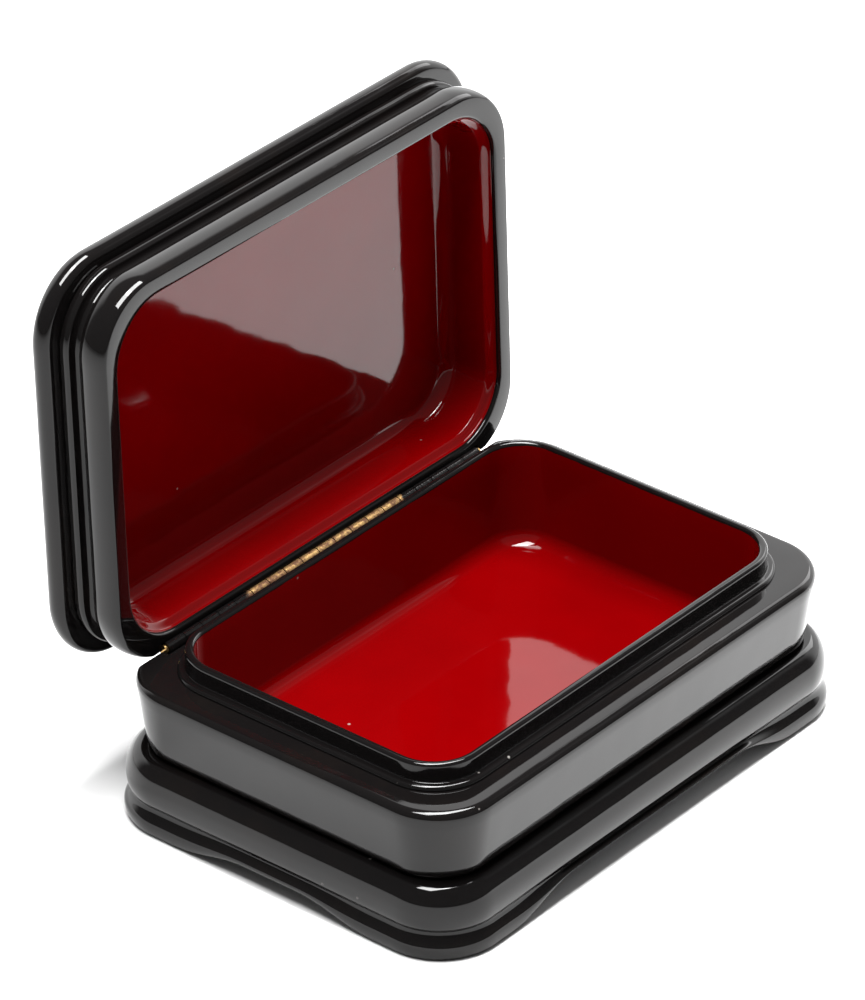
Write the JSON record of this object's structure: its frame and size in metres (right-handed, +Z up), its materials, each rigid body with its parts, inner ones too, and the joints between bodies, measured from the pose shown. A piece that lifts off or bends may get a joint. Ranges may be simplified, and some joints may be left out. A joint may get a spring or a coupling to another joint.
{
  "type": "lacquered trinket box",
  "caption": "Black lacquered rectangular trinket box with a red interior, moulded sides, bracket feet and a deep moulded lid on a long inset hinge.",
  "frame": {"origin": "centre of the footprint, on the surface that the feet stand on", "axes": "+X along the length, +Y towards the hinge at the back, +Z up"},
  "size_m": [0.162, 0.1333, 0.1457],
  "materials": {
    "black_lacquer": "high gloss",
    "red_lacquer": "high gloss",
    "aged_brass": "tarnished",
    "bright_brass": "rubbed"
  },
  "bodies": {
    "box": {"box_wall": "black_lacquer", "box_collar": "red_lacquer", "floor_board": "red_lacquer", "base_bead": "black_lacquer", "foot_frame": "black_lacquer", "hinge_pin": "bright_brass", "box_knuckle_1": "aged_brass", "box_knuckle_2": "aged_brass", "box_knuckle_3": "aged_brass", "box_knuckle_4": "aged_brass", "box_knuckle_5": "aged_brass", "box_knuckle_6": "aged_brass", "box_knuckle_7": "aged_brass", "box_knuckle_8": "aged_brass", "box_knuckle_9": "aged_brass", "box_knuckle_10": "aged_brass"},
    "lid": {"lid_rim": "black_lacquer", "lid_band": "black_lacquer", "lid_crown": "black_lacquer", "lid_lining": "red_lacquer", "lid_panel": "black_lacquer", "lid_knuckle_1": "aged_brass", "lid_knuckle_2": "aged_brass", "lid_knuckle_3": "aged_brass", "lid_knuckle_4": "aged_brass", "lid_knuckle_5": "aged_brass", "lid_knuckle_6": "aged_brass", "lid_knuckle_7": "aged_brass", "lid_knuckle_8": "aged_brass", "lid_knuckle_9": "aged_brass"}
  },
  "joints": [
    {"name": "lid_hinge", "type": "hinge", "parent": "box", "child": "lid", "pos_m": [0, 0.0506, 0.04005], "axis": [1, 0, 0], "range_deg": [0, 91.8]}
  ]
}
